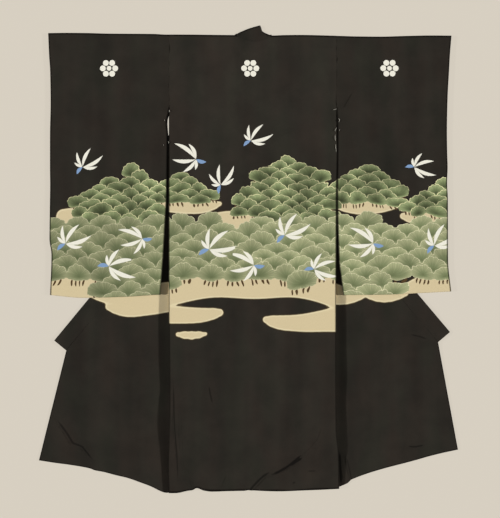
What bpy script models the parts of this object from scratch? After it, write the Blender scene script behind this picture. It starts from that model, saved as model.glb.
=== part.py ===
"""An infant's formal silk kimono, laid out flat with its back up.

Metres, +Z up. +Y runs from the hem to the shoulders and +X to the right-hand sleeve. The floor
is Z = 0 and the origin is the middle of the part's box on the floor. The tables below are in
millimetres, because cloth is cut and sewn in them; mm() turns them to metres.

Both fronts are folded outwards under the back, each along a slanting line from the neck to the
hem's corner. A thread of the weft runs level from the side seam to that line, turns under in a
small roll and goes on along the floor at twice the line's slant. That rule places every point.
"""

import math

import bmesh
import bpy
from mathutils import Vector

# Driving sizes of the cloth, in millimetres
CLOTH_WALL = 1.2
COLLAR_WALL = 2.4
COLLAR_WIDTH = 33.0
SEAM_GAP = 0.3
LAYER_GAP = 1.2
SLEEVE_THICKNESS = 3.6
SLEEVE_RISE = 3.0
BACK_FALL = 90.0

# How finely each piece is divided
ROLL_STEPS = 5
SLEEVE_EDGE_STEPS = 4
OKUMI_ROWS = 16
OKUMI_COLUMNS = 8
OKUMI_TIP_SHARE = 0.85
STEPS_BETWEEN_BENDS = 4
BACK_ROWS = 42
BACK_CENTRE_COLUMNS = 7

# The back's outline: its side edges and its hem
SHOULDER_MIDDLE_Y = 474.3
SHOULDER_SLOPE = -0.0068
ARMHOLE_END_Y = 321.0
LEFT_SIDE = {  # y: x
    475: -169.3, -86: -169.3, -175: -167.4, -297: -165.4, -372: -167.6, -435: -170.4, -493: -169.0,
}
RIGHT_SIDE = {  # y: x
    475: 185.2, 317: 184.6, -170: 183.6, -355: 184.6, -414: 189.3, -484: 190.6,
}
HEM = {  # x: y
    -169: -493.4, -155: -493.2, -119: -487.8, -111: -483.4, -91: -488.4, -40: -489.8,
    -8: -488.2, -2: -485.2, 5: -487.2, 61: -490.0, 118: -488.2, 191: -484.4,
}
NECK_LEFT_X, NECK_RIGHT_X = -26.0, 47.0
NECK_DROP = 12.0
COLLAR_TOP_Y = 467.0

# The neck end of the collar above the shoulder line: its upper outline
NECK_TOP = {  # x: y
    -26: 476.4, -14: 481.2, 0: 487.0, 17: 491.8, 22: 493.8, 25: 483.8, 34: 478.4, 44: 474.6,
}

# Heights of the tuck's upper face at the side seam, and the roll's outer radius, along the body
SEAM_HEIGHT = {  # y: height
    -492: 4.2, -445: 6.5, -380: 9.5, -150: 9.5, -80: 8.0, 126: 5.5, 232: 4.8, 321: 4.0,
    370: 3.2, 420: 2.4, 474: 1.6,
}
ROLL_RADIUS = {  # y: radius
    -492: 2.0, -445: 3.0, -380: 3.8, -80: 3.8, 126: 3.5, 321: 3.0, 474: 2.2,
}

# One entry for each half of the body. "side" is -1 on the left and 1 on the right.
HALVES = {
    "left": {
        "side": -1,
        "edge": LEFT_SIDE,
        "fold_top": (-25.3, 471.5),
        "fold_hem": (-160.0, -492.0),
        "seam_hem": (-319.7, -445.6),
        "seam_middle": (-240.0, -169.0),
        "okumi_tip": (-177.8, 58.5),
        "hem_corner": (-442.1, -423.4),
        "collar_end": (-385.4, -192.3),
        "collar_bends": ((-157.0, 150.0), (-133.0, 243.0), (-87.0, 352.0)),
        "neck_end": (-35.0, 473.0),
    },
    "right": {
        "side": 1,
        "edge": RIGHT_SIDE,
        "fold_top": (45.6, 471.5),
        "fold_hem": (179.5, -484.0),
        "seam_hem": (326.3, -430.8),
        "seam_middle": (247.0, -138.0),
        "okumi_tip": (193.9, 75.4),
        "hem_corner": (442.4, -402.2),
        "collar_end": (400.2, -174.7),
        "collar_bends": ((173.0, 162.0), (149.0, 253.0), (104.0, 358.0)),
        "neck_end": (55.0, 472.5),
    },
}

# One entry for each sleeve: where its open edges run, and its lower edge
SLEEVES = {
    "left": {
        "cuff": {  # y: x
            478: -423.7, 410: -420.9, 319: -418.4, 113: -421.2, 44: -422.0, 10: -417.8, -75: -420.9,
        },
        "inner": {  # y: x
            478: -169.6, 321: -169.6, 264: -175.1, 0: -181.6, -43: -185.4, -66: -187.1, -80: -187.6,
        },
        "lower": {  # x: y
            -421: -75.0, -345: -80.9, -252: -78.4, -187: -74.2,
        },
    },
    "right": {
        "cuff": {  # y: x
            478: 427.3, 395: 422.0, 339: 420.1, 269: 419.0, 198: 419.4, 113: 422.0, 0: 421.2, -67: 427.9,
        },
        "inner": {  # y: x
            478: 185.5, 321: 185.0, 264: 187.0, 0: 190.7, -47: 196.2, -80: 200.5,
        },
        "lower": {  # x: y
            200: -75.0, 283: -73.9, 364: -70.3, 428: -67.0,
        },
    },
}

# Creases that stand up in the cloth, one row each: where it starts and ends, its height and half
# width. The first table is the back's, the second is for what lies turned out on the floor.
BACK_CREASES = (
    {"start": (2, -486), "end": (46, -447), "height": 2.4, "width": 22},
    {"start": (46, -447), "end": (116, -411), "height": 3.2, "width": 24},
    {"start": (116, -411), "end": (160, -330), "height": 2.0, "width": 26},
    {"start": (-153, -420), "end": (-160, -270), "height": 1.4, "width": 22},
)
FRONT_CREASES = (
    {"start": (-409, -335), "end": (-372, -388), "height": 2.6, "width": 20},
    {"start": (-372, -388), "end": (-326, -430), "height": 2.2, "width": 20},
    {"start": (341, -158), "end": (377, -168), "height": 2.0, "width": 20},
    {"start": (208, -425), "end": (214, -460), "height": 2.4, "width": 22},
)

# Colours of the silk and of the dyed design's ground, linear
BLACK_SILK = (0.026, 0.022, 0.017, 1.0)
GREEN_SILK = (0.25, 0.28, 0.16, 1.0)


def mm(value):
    """Millimetres in metres."""
    return value * 0.001


def read(table, at):
    """The value of a table at this place, on a straight line between its rows."""
    keys = sorted(table)
    if at <= keys[0]:
        return table[keys[0]]
    for low, high in zip(keys, keys[1:]):
        if at <= high:
            share = (at - low) / (high - low)
            return table[low] + (table[high] - table[low]) * share
    return table[keys[-1]]


def smooth(share):
    """0 to 1 with a soft start and end."""
    share = min(1.0, max(0.0, share))
    return share * share * (3 - 2 * share)


def mix(a, b, share):
    return a + (b - a) * share


def shoulder_y(x):
    """The shoulder line, which slopes a little down to the right."""
    return SHOULDER_MIDDLE_Y + SHOULDER_SLOPE * x


def neck_y(x):
    """The back's upper edge: the shoulder line with the shallow neck cut."""
    share = (x - NECK_LEFT_X) / (NECK_RIGHT_X - NECK_LEFT_X)
    if not 0 < share < 1:
        return shoulder_y(x)
    return shoulder_y(x) - NECK_DROP * math.sin(math.pi * share) ** 0.6


def crossing(point, direction, start, end):
    """Where the line through this point meets the line from start to end."""
    along = Vector(end) - Vector(start)
    offset = Vector(start) - Vector(point)
    cross = direction.x * along.y - direction.y * along.x
    reach = (offset.x * along.y - offset.y * along.x) / cross
    return Vector(point) + direction * reach


def seam_stations(half):
    """Points up the front's outer seam: okumi seam from the hem to its tip, then the collar seam."""
    hem, middle, tip = (Vector(half[name]) for name in ("seam_hem", "seam_middle", "okumi_tip"))
    lower = []
    for row in range(OKUMI_ROWS + 1):
        share = row / OKUMI_ROWS
        if share < 0.5:
            lower.append(hem.lerp(middle, share * 2))
        else:
            lower.append(middle.lerp(tip, share * 2 - 1))
    upper = []
    corners = [tip, *map(Vector, half["collar_bends"]), Vector(half["neck_end"])]
    for low, high in zip(corners, corners[1:]):
        for step in range(1, STEPS_BETWEEN_BENDS + 1):
            upper.append(low.lerp(high, step / STEPS_BETWEEN_BENDS))
    return lower, upper


def fold_frame(half):
    """The fold line's direction towards the hem, and the direction across it away from the side."""
    down = (Vector(half["fold_hem"]) - Vector(half["fold_top"])).normalized()
    across = Vector((-down.y, down.x)) * -half["side"]
    return down, across


def front_section(half, outer):
    """A front's section through one thread: side seam, tuck, roll and the length on the floor."""
    down, across = fold_frame(half)
    turned = Vector((half["side"] * -1, 0))
    turned = turned - 2 * turned.dot(across) * across
    fold = crossing(outer, turned, half["fold_top"], half["fold_hem"])
    radius = read(ROLL_RADIUS, fold.y)
    slant = abs(down.x / down.y)
    seam_height = read(SEAM_HEIGHT, fold.y)
    roll = []
    for step in range(ROLL_STEPS + 1):
        angle = math.pi * step / ROLL_STEPS
        flat = fold + across * (radius * math.sin(angle) - radius)
        flat -= down * (slant * radius * (angle - math.pi / 2))
        roll.append((flat.x, flat.y, radius + radius * math.cos(angle)))
    start_y = roll[0][1]
    start_x = read(half["edge"], start_y)
    section = []
    for share in (0.0, 0.5):
        height = mix(seam_height, 2 * radius, share)
        section.append((mix(start_x, roll[0][0], share), start_y, height))
    section += roll
    for share in (0.2, 0.4, 0.6, 0.8, 1.0):
        x, y = mix(roll[-1][0], outer.x, share), mix(roll[-1][1], outer.y, share)
        section.append((x, y, crease_height(FRONT_CREASES, x, y)))
    return section


def grid_object(name, rows, wall, outward, colour, closed=False):
    """A panel: rows of points on one face, with the wall added on the other side of it.

    A grid is laid out flat and each of its points is moved to its place. Outward is 1 where the
    wall grows along the grid's normals and -1 where it grows against them.
    """
    last_row = len(rows) - 1
    last_point = len(rows[0]) - 1
    mesh = bmesh.new()
    bmesh.ops.create_grid(mesh, x_segments=last_point, y_segments=last_row, size=0.5)
    for vert in mesh.verts:
        row = round((vert.co.y + 0.5) * last_row)
        point = round((vert.co.x + 0.5) * last_point)
        vert.co = Vector(rows[row][point]) * 0.001
    if closed:
        bmesh.ops.remove_doubles(mesh, verts=mesh.verts, dist=1e-6)
    data = bpy.data.meshes.new(name)
    mesh.to_mesh(data)
    mesh.free()
    panel = bpy.data.objects.new(name, data)
    garment.objects.link(panel)
    solid = panel.modifiers.new("Wall", "SOLIDIFY")
    solid.thickness = mm(wall)
    solid.offset = outward
    solid.use_even_offset = True
    data.materials.append(silk(name, colour))
    return panel


def silk(name, colour):
    """Dyed silk: dark, smooth and only a little glossy."""
    material = bpy.data.materials.new(name + "_silk")
    material.use_nodes = True
    shader = material.node_tree.nodes["Principled BSDF"]
    shader.inputs["Base Color"].default_value = colour
    shader.inputs["Roughness"].default_value = 0.6
    shader.inputs["Metallic"].default_value = 0.0
    return material


def crease_height(creases, x, y):
    """How far these creases lift the cloth here."""
    lift = 0.0
    for crease in creases:
        start, end = Vector(crease["start"]), Vector(crease["end"])
        run = end - start
        share = min(1.0, max(0.0, (Vector((x, y)) - start).dot(run) / run.length_squared))
        away = (Vector((x, y)) - start - run * share).length
        if away < crease["width"]:
            lift = max(lift, crease["height"] * (1 - smooth(away / crease["width"])))
    return lift


def tuck_zone(half, y):
    """The tuck under the back at this height: x of the side edge, roll start and fold line."""
    down, across = fold_frame(half)
    level = crossing((0.0, y), Vector((1, 0)), half["fold_top"], half["fold_hem"])
    radius = read(ROLL_RADIUS, y)
    return read(half["edge"], y), level.x - abs(across.x) * radius * -half["side"], level.x


def back_half_row(half, y):
    """The back's underside from its side edge over the tuck and down to the floor."""
    edge, roll_start, fold = tuck_zone(half, y)
    radius = read(ROLL_RADIUS, y)
    seam_height = read(SEAM_HEIGHT, y)
    sewn = smooth((ARMHOLE_END_Y + 10 - y) / 60)
    edge_gap = mix(LAYER_GAP, SEAM_GAP + 0.1, sewn)
    points = []
    for share in (0.0, 0.14, 0.5, 1.0):
        gap = mix(edge_gap, LAYER_GAP, smooth(share / 0.14))
        points.append((mix(edge, roll_start, share), mix(seam_height, 2 * radius, share) + gap))
    top = 2 * radius + LAYER_GAP
    points.append((fold, top))
    middle = mix(tuck_zone(HALVES["left"], y)[2], tuck_zone(HALVES["right"], y)[2], 0.5)
    reach = min(BACK_FALL, abs(middle - fold) * 0.8)
    for share in (0.25, 0.5, 0.75, 1.0):
        height = top * (1 + math.cos(math.pi * share)) / 2
        points.append((fold - half["side"] * reach * share, height))
    return points


def build_back():
    """The back panel lies on the floor along its middle and over the fronts' rolls at its sides."""
    rows = []
    for row in range(BACK_ROWS + 1):
        share = row / BACK_ROWS
        level = mix(-491.5, SHOULDER_MIDDLE_Y, share ** 1.15)
        left = back_half_row(HALVES["left"], level)
        right = back_half_row(HALVES["right"], level)
        gap = right[-1][0] - left[-1][0]
        share = 1 / (BACK_CENTRE_COLUMNS + 1)
        centre = [(left[-1][0] + gap * share * part, 0.0) for part in range(1, BACK_CENTRE_COLUMNS + 1)]
        points = []
        for x, height in left + centre + right[::-1]:
            y = level
            if row == 0:
                y = read(HEM, x)
            elif row == BACK_ROWS:
                y = neck_y(x)
            points.append((x, y, height + crease_height(BACK_CREASES, x, y)))
        rows.append(points)
    grid_object("back", rows, CLOTH_WALL, 1, BLACK_SILK)
    return rows[-1]


def build_front(name, half):
    """A front: its tuck under the back, the roll and the length turned out on the floor."""
    lower, upper = seam_stations(half)
    rows = []
    for outer in lower + upper:
        rows.append(front_section(half, outer))
    grid_object("front_" + name, rows, CLOTH_WALL, half["side"], BLACK_SILK)


def outward_normal(half, start, end):
    """The direction across a seam that runs from start up to end, away from the body's middle."""
    run = (end - start).normalized()
    return Vector((-run.y, run.x)) * -half["side"]


def build_overlap(name, half):
    """The okumi: a long panel between its seam and the open edge, pointed at the collar seam."""
    lower, upper = seam_stations(half)
    corner, end, tip = (Vector(half[key]) for key in ("hem_corner", "collar_end", "okumi_tip"))
    open_length = (end - corner).length
    whole = open_length + (tip - end).length
    away = outward_normal(half, lower[0], lower[-1])
    inset = outward_normal(half, end, tip) * -SEAM_GAP
    rows = []
    lower[-1] = lower[-2].lerp(lower[-1], OKUMI_TIP_SHARE)
    for row, inner in enumerate(lower):
        share = row / OKUMI_ROWS if row < OKUMI_ROWS else (row - 1 + OKUMI_TIP_SHARE) / OKUMI_ROWS
        reach = whole * share
        if reach < open_length:
            outer = corner.lerp(end, reach / open_length)
        else:
            outer = end.lerp(tip, (reach - open_length) / (whole - open_length)) + inset
        start = inner + away * SEAM_GAP
        across = [start.lerp(outer, part / OKUMI_COLUMNS) for part in range(OKUMI_COLUMNS + 1)]
        rows.append([(x, y, crease_height(FRONT_CREASES, x, y)) for x, y in across])
    grid_object("overlap_" + name, rows, CLOTH_WALL, half["side"], GREEN_SILK)


def collar_seam(half):
    """The collar's inner edge, from its square end up to just under the neck."""
    lower, upper = seam_stations(half)
    end, tip = Vector(half["collar_end"]), Vector(half["okumi_tip"])
    return [end.lerp(tip, part / 6) for part in range(6)] + [lower[-1]] + upper


def build_collar(name, half):
    """A collar's length beside the okumi and the front, flat on the floor."""
    seam = collar_seam(half)
    rows = []
    for index, point in enumerate(seam):
        before = seam[max(0, index - 1)]
        after = seam[min(len(seam) - 1, index + 1)]
        across = outward_normal(half, before, after)
        start = point + across * SEAM_GAP
        if index == len(seam) - 1:
            level = Vector((half["side"], 0))
            start = crossing((0, COLLAR_TOP_Y), level, before + across * SEAM_GAP, start)
            across = level
        rows.append([(*(start + across * (COLLAR_WIDTH * part / 3)), 0.0) for part in range(4)])
    grid_object("collar_" + name, rows, COLLAR_WALL, half["side"], BLACK_SILK)


def build_neck(back_top):
    """The collar behind the neck, from the back's neck cut up to its free edge."""
    cut = {point[0]: point[1] for point in back_top}
    places = sorted(x for x in [*cut, *NECK_TOP] if NECK_LEFT_X < x < NECK_RIGHT_X)
    rows = []
    for part in range(3):
        row = []
        for x in places:
            low = read(cut, x) + SEAM_GAP
            row.append((x, mix(low, read(NECK_TOP, x), part / 2), 0.0))
        rows.append(row)
    grid_object("collar_neck", rows, COLLAR_WALL, 1, BLACK_SILK)


def collar_distance(half, x, y):
    """How far this place lies outside the collar's free edge; less than 0 is over the front."""
    seam = collar_seam(half)
    nearest = None
    place = Vector((x, y))
    for start, end in zip(seam, seam[1:]):
        run = end - start
        share = min(1.0, max(0.0, (place - start).dot(run) / run.length_squared))
        away = place - start - run * share
        outside = away.dot(outward_normal(half, start, end))
        if nearest is None or away.length < nearest[0]:
            nearest = (away.length, outside)
    distance, outside = nearest
    return (distance if outside > 0 else -distance) - COLLAR_WIDTH


def build_sleeve(name, half):
    """A sleeve: a flat tube, closed above and below, open at the cuff and beside the body."""
    sleeve = SLEEVES[name]
    radius = SLEEVE_THICKNESS / 2
    lengths = [part / 14 for part in range(1, 14)]
    loop = [("top", share) for share in lengths]
    loop += [("lower_edge", step / SLEEVE_EDGE_STEPS) for step in range(SLEEVE_EDGE_STEPS + 1)]
    loop += [("under", 1 - share) for share in lengths]
    loop += [("upper_edge", step / SLEEVE_EDGE_STEPS) for step in range(SLEEVE_EDGE_STEPS + 1)]
    loop.append(loop[0])
    rows = []
    for column in range(11):
        share = column / 10
        guess = mix(read(sleeve["cuff"], 200), read(sleeve["inner"], 200), share)
        high = shoulder_y(guess)
        low = read(sleeve["lower"], guess)
        row = []
        for kind, part in loop:
            if kind in ("top", "under"):
                y, rise = mix(high, low, part), 0.0 if kind == "under" else SLEEVE_THICKNESS
            else:
                angle = math.pi * part
                bulge = radius * math.sin(angle)
                y = low + radius - bulge if kind == "lower_edge" else high - radius + bulge
                turn = math.cos(angle) if kind == "lower_edge" else -math.cos(angle)
                rise = radius + radius * turn
            x = mix(read(sleeve["cuff"], y), read(sleeve["inner"], y), share)
            row.append((x, y, sleeve_floor(half, sleeve, x, y) + rise))
        rows.append(row)
    grid_object("sleeve_" + name, rows, CLOTH_WALL, half["side"], BLACK_SILK, closed=True)


def sleeve_floor(half, sleeve, x, y):
    """The height of the sleeve's lower face: it rides over the front and meets the body's side."""
    lift = SLEEVE_RISE * (1 - smooth((collar_distance(half, x, y) - 20) / 45))
    seam = min(SLEEVE_RISE, read(SEAM_HEIGHT, y) - CLOTH_WALL)
    near = smooth(1 - abs(x - read(sleeve["inner"], y)) / 90)
    return mix(lift, max(lift, seam), near)


for old in list(bpy.data.objects):
    bpy.data.objects.remove(old, do_unlink=True)
garment = bpy.data.collections.new("kimono")
bpy.context.scene.collection.children.link(garment)

build_neck(build_back())
for half_name, half_sizes in HALVES.items():
    build_front(half_name, half_sizes)
    build_overlap(half_name, half_sizes)
    build_collar(half_name, half_sizes)
    build_sleeve(half_name, half_sizes)
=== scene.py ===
"""An infant's formal kimono laid flat with its back up: its silk, its dyed design and its sewing.

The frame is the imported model's: metres, +Z up, +Y from the hem to the shoulders, the floor at
Z = 0. The tables are in millimetres, because cloth is cut and sewn in them. Every panel is a
fine grid of points on one face of the cloth, and Solidify adds the wall on its other side.
"""

import math

import bmesh
import bpy
import numpy as np
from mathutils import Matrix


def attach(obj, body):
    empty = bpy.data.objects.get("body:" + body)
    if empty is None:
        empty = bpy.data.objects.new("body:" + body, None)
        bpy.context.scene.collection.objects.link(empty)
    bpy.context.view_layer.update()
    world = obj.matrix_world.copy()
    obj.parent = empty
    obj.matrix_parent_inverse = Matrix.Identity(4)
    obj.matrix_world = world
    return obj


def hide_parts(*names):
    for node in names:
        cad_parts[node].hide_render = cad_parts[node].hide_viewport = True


bl_info = {
    "name": "Infant's formal kimono",
    "version": (1, 0, 0),
    "blender": (4, 5, 0),
    "location": "3D View > Sidebar > Kimono",
    "description": "A black silk kimono with a dyed design, laid flat with its back up",
    "category": "Add Mesh",
}

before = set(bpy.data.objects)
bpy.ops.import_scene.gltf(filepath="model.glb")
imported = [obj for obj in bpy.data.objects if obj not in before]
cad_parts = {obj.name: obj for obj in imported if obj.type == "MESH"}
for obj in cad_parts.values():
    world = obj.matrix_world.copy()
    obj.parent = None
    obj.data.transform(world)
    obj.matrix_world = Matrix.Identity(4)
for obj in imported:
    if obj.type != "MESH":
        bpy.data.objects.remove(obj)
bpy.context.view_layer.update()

# Sizes that the panels share, in millimetres
MM = 0.001
SEAM_GAP = 0.3
SEWN_LAP = 0.1
LAYER_GAP = 1.2
CLOTH_WALL = 1.2
SLEEVE_THICKNESS = 3.6
SLEEVE_RISE = 3.0
BACK_FALL = 90.0
SHOULDER_MIDDLE_Y = 474.3
ARMHOLE_END_Y = 321.0
HEM_Y, HEM_FADE_Y, CREASED_Y, TOP_FADE_Y = -491.5, -470, -380, 455
NECK_LEFT_X, NECK_RIGHT_X = -26.0, 47.0
NECK_DROP = 12.0
COLLAR_TOP_Y = 467.0
COLLAR_WIDTH = 33.0
THREAD_HEIGHT = 6.6

COLLAR_SWELL, NECK_SWELL, COLLAR_LIFT, COLLAR_LIFT_REACH = 0.9, 0.8, 1.1, 16
THREAD_SPACING, THREAD_ARCH = 0.7, 1.2

# How much of the wall's thickness its pressed edge takes
PRESSED_SHARE = 0.34

# The stage: the floor's half width and depth and the camera's place in metres, lamps in degrees
FLOOR_HALF, FLOOR_DEPTH = 12, 0.0004
CAMERA_X, CAMERA_Y = 0.0022, 0.0013
LAMP_SLANT, LAMP_SOFTNESS = 72, 2.5

# Points of the grids: spacing along the fronts' seam, and rows and columns. The back's rows lie
# closer below CREASED_Y, and its ends follow the hem and the neck beyond the two heights to fade.
SEAM_SPACING = 3.4
HEM_ROWS = 14
BACK_HEM_ROWS, BACK_ROWS, BACK_COLUMNS = 68, 246, 140
TUCK_COLUMNS, ROLL_COLUMNS, FRONT_COLUMNS, OVERLAP_COLUMNS = 16, 10, 62, 42
COLLAR_ROWS, COLLAR_COLUMNS, NECK_COLUMNS = 230, 14, 52
SLEEVE_TOP, SLEEVE_UNDER, SLEEVE_TURN, SLEEVE_ROWS = 182, 92, 7, 86

# How far from a free edge counts as not beside it, in millimetres
FAR = 99.0

# The shoulder line, which is folded a little unevenly, and the back's outline
SHOULDER = {  # x: y
    -424: 479.4, -383: 479.9, -345: 479.6, -300: 478.4, -205: 477.6, -182: 476.3, -129: 476.0, -60: 475.0,
    0: 474.3, 50: 473.7, 75: 474.7, 110: 475.1, 176: 473.8, 201: 473.2, 227: 472.4, 278: 472.0, 328: 473.4,
    379: 474.4, 428: 474.0,
}
LEFT_SIDE = {  # y: x
    475: -169.3, -86: -169.3, -175: -168.4, -297: -167.4, -372: -168.6, -435: -170.6, -493: -169.2,
}
RIGHT_SIDE = {  # y: x
    475: 185.2, 360: 184.8, 300: 186.6, 240: 186.8, 130: 184.8, -170: 183.6, -355: 184.6, -414: 189.3, -484: 190.6,
}
HEM = {  # x: y
    -169: -493.8, -155: -493.7, -129: -488.8, -119: -487.4, -111: -483.4, -95: -489.0, -78: -491.2, -53: -490.4,
    -8: -489.2, -2: -487.8, 5: -488.4, 61: -490.6, 118: -488.5, 191: -484.6,
}
NECK_TOP = {  # x: y, the collar's free edge behind the neck
    -29: 474.4, -18: 481.4, -2: 488.2, 10: 492.0, 21.5: 495.2, 24.6: 495.2, 26.2: 484.4, 32: 480.2, 43: 474.8,
    48: 473.7,
}

# Heights of the tuck's upper face at the side seam, and the roll's outer radius, along the body
SEAM_HEIGHT = {  # y: height
    -492: 4.2, -445: 6.0, -380: 8.8, -300: 9.5, -150: 9.5, -80: 8.0, 126: 5.5, 232: 4.8, 321: 4.0,
    370: 3.2, 420: 2.4, 474: 1.6,
}
ROLL_RADIUS = {  # y: radius
    -492: 2.0, -445: 3.0, -380: 3.8, -80: 3.8, 126: 3.5, 321: 3.0, 474: 2.2,
}

# One entry for each half of the body. "side" is -1 on the left and 1 on the right, and "lift" is
# its seam's height against the table's.
HALVES = {
    "left": {
        "side": -1,
        "lift": 0.83,
        "edge": LEFT_SIDE,
        "fold_top": (-25.3, 471.5),
        "fold_hem": (-160.0, -492.0),
        "okumi_seam": ((-319.7, -445.6), (-240.0, -169.0), (-179.8, 58.5)),
        "hem_corner": (-444.6, -424.8),
        "hem": {  # x: y
            -445: -424.8, -409: -430.4, -380: -434.2, -336: -442.2, -327: -445.8, -308: -449.4, -282: -456.2,
            -256: -462.4, -231: -471.2, -209: -479.4, -180: -492.6, -175: -493.6, -160: -492.5,
        },
        "collar_end": (-386.6, -192.3),
        "collar_bends": ((-158.0, 150.0), (-133.0, 243.0), (-87.0, 352.0), (-35.0, 473.0)),
    },
    "right": {
        "side": 1,
        "lift": 0.88,
        "edge": RIGHT_SIDE,
        "fold_top": (45.6, 471.5),
        "fold_hem": (179.5, -484.0),
        "okumi_seam": ((326.3, -430.8), (246.0, -138.0), (188.6, 75.4)),
        "hem_corner": (442.4, -402.2),
        "hem": {  # x: y
            192: -480.5, 210: -472.0, 217: -465.2, 227: -461.2, 252: -452.2, 288: -441.4, 328: -431.0, 354: -424.0,
            379: -416.8, 405: -410.2, 442: -402.2,
        },
        "collar_end": (400.2, -174.7),
        "collar_bends": ((169.6, 162.0), (149.0, 253.0), (104.0, 358.0), (55.0, 472.5)),
    },
}

SLEEVES = {
    "left": {
        "cuff": {  # y: x
            478: -424.8, 431: -422.7, 397: -420.5, 330: -419.6, 262: -420.9, 194: -421.0, 160: -420.6,
            113: -421.2, 44: -422.0, 10: -417.8, -75: -420.9,
        },
        "inner": {  # y: x
            478: -169.2, 321: -169.2, 290: -175.0, 264: -173.2, 137: -174.6, 60: -178.6, 0: -182.0,
            -43: -185.4, -66: -187.1, -80: -187.6,
        },
        "under": {  # y: how far the lower layer reaches in under the back
            410: 0.0, 390: 5.0, 324: 5.0, 310: 3.0, 290: 2.6, 266: 2.2, 254: 8.0, 200: 8.0, 170: 0.0,
        },
        "lower": {  # x: y
            -421: -75.0, -345: -80.9, -252: -78.4, -187: -74.2,
        },
    },
    "right": {
        "cuff": {  # y: x
            478: 428.8, 431: 425.0, 395: 423.0, 339: 420.1, 269: 418.8, 228: 419.4, 194: 420.3, 164: 419.2,
            126: 420.8, 0: 421.2, -67: 427.9,
        },
        "inner": {  # y: x
            478: 185.1, 360: 184.7, 321: 185.7, 300: 187.0, 250: 187.9, 137: 187.2, 0: 190.7, -47: 196.2, -80: 200.5,
        },
        "under": {  # y: how far the lower layer reaches in under the back
            410: 0.0, 390: 6.0, 228: 6.0, 198: 0.0,
        },
        "lower": {  # x: y
            200: -75.0, 283: -73.9, 364: -70.3, 428: -67.0,
        },
    },
}

# Creases, a row each: how high the cloth stands along it, how wide its soft side and its steep side
# are, how much shade is painted along its line, and the line that it follows.
BACK_CREASES = (
    (3.4, 26, 6, 0.8, ((-2, -492), (8, -480), (19, -468), (30, -458), (46, -448))),
    (3.6, 30, 5, 1.0, ((44, -457), (62, -449), (79, -439), (97, -425), (118, -409))),
    (2.4, 34, 14, 0.3, ((108, -417), (128, -399), (144, -380), (156, -350))),
    (3.4, 9, 8, 1.0, ((86, -437), (100, -427), (114, -418))),
    (1.6, 12, 4, 0.5, ((124, -447), (142, -446))),
    (1.0, 8, 4, 0.6, ((92, -474), (98, -470))),
    (1.4, 12, 5, 0.6, ((-85, -266), (-82, -284), (-77, -305))),
    (1.1, 7, 4, 0.0, ((-166, -290), (-164, -380), (-160, -430), (-163, -488))),
    # Painted shade: a dark line with no ridge, for the groove beside the back's left edge
    (0.0, 5, 5, 0.65, ((-160, -250), (-158, -340), (-152, -420), (-150, -476))),
    (2.0, 14, 7, 0.2, ((-145, -300), (-141, -380), (-137, -455))),
    (1.4, 14, 6, 0.3, ((-60, -486), (-48, -455))),
    (1.4, 12, 5, 0.3, ((-119, -486), (-128, -462))),
    (0.9, 12, 4, 0.12, ((-155, 446), (-153, 384), (-156, 326))),
    (0.7, 9, 4, 0.1, ((178, 452), (179, 400), (177, 340))),
    (1.0, 10, 5, 0.1, ((150, 300), (162, 262), (170, 236))),
)
FRONT_CREASES = (
    (2.8, 20, 6, 0.75,
     ((-409, -335), (-396, -352), (-385, -367), (-372, -388), (-353, -395), (-341, -410), (-326, -430))),
    (2.2, 14, 5, 0.6, ((341, -158), (360, -162), (377, -168))),
    (1.8, 14, 5, 0.7, ((336, -395), (352, -396), (371, -392))),
    # Painted shadow: a dark line with no ridge, in the gap beside the back's right edge
    (0.0, 5, 5, 1.0, ((191.6, -404), (193.6, -440), (195.6, -478))),
    (2.6, 16, 6, 0.5, ((206, -416), (212, -440), (218, -468))),
    (1.2, 30, 12, 0.0, ((-270, -300), (-262, -350), (-244, -410))),
    (1.2, 34, 12, 0.0, ((250, -250), (262, -330), (286, -400))),
    (0.8, 40, 20, 0.0, ((-180, -478), (-187, -430), (-192, -370), (-194, -266), (-195, -160), (-193, -70))),
    (1.2, 40, 18, 0.0, ((204, -60), (206, -250), (206, -400), (200, -470))),
)
SLEEVE_CREASES = (
    (1.6, 12, 4, 0.5, ((219, 354), (208, 335), (198, 318))),
    (1.0, 26, 9, 0.0, ((-190, 300), (-204, 240), (-212, 190))),
    (1.0, 26, 9, 0.0, ((212, 300), (224, 250), (228, 200))),
    (0.9, 24, 10, 0.0, ((330, 462), (352, 440), (364, 410))),
)

# Worn threads at the tops of the slits, a row each: the curve that a thread lies on
THREADS = (
    ((-170.6, 250.5), (-169.4, 248.0), (-169.8, 245.5)),
    ((-168.8, 316.8), (-167.9, 314.0), (-168.6, 311.2)),
    ((-178.6, 295.8), (-178.0, 293.0)),
    ((-180.6, 243.6), (-180.2, 240.6)),
    ((177.4, 316.4), (180.6, 317.2), (184.6, 318.4)),
    ((189.4, 298.0), (191.0, 296.2), (191.2, 293.2), (189.6, 290.8)),
    ((191.4, 275.2), (191.0, 272.4)),
    ((185.6, 279.0), (183.4, 275.6), (182.0, 271.0)),
    ((182.4, 264.0), (182.2, 257.0), (183.0, 250.6)),
    ((183.2, 243.6), (183.6, 237.0), (184.6, 228.0)),
)


def linear(colour):
    """An sRGB hex colour as linear red, green, blue and alpha."""
    channels = [int(colour[place:place + 2], 16) / 255 for place in (1, 3, 5)]
    return [c / 12.92 if c <= 0.04045 else ((c + 0.055) / 1.055) ** 2.4 for c in channels] + [1.0]


def read(table, at):
    """A table's values at these places, on straight lines between its rows."""
    keys = sorted(table)
    return np.interp(at, keys, [table[key] for key in keys])


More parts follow.
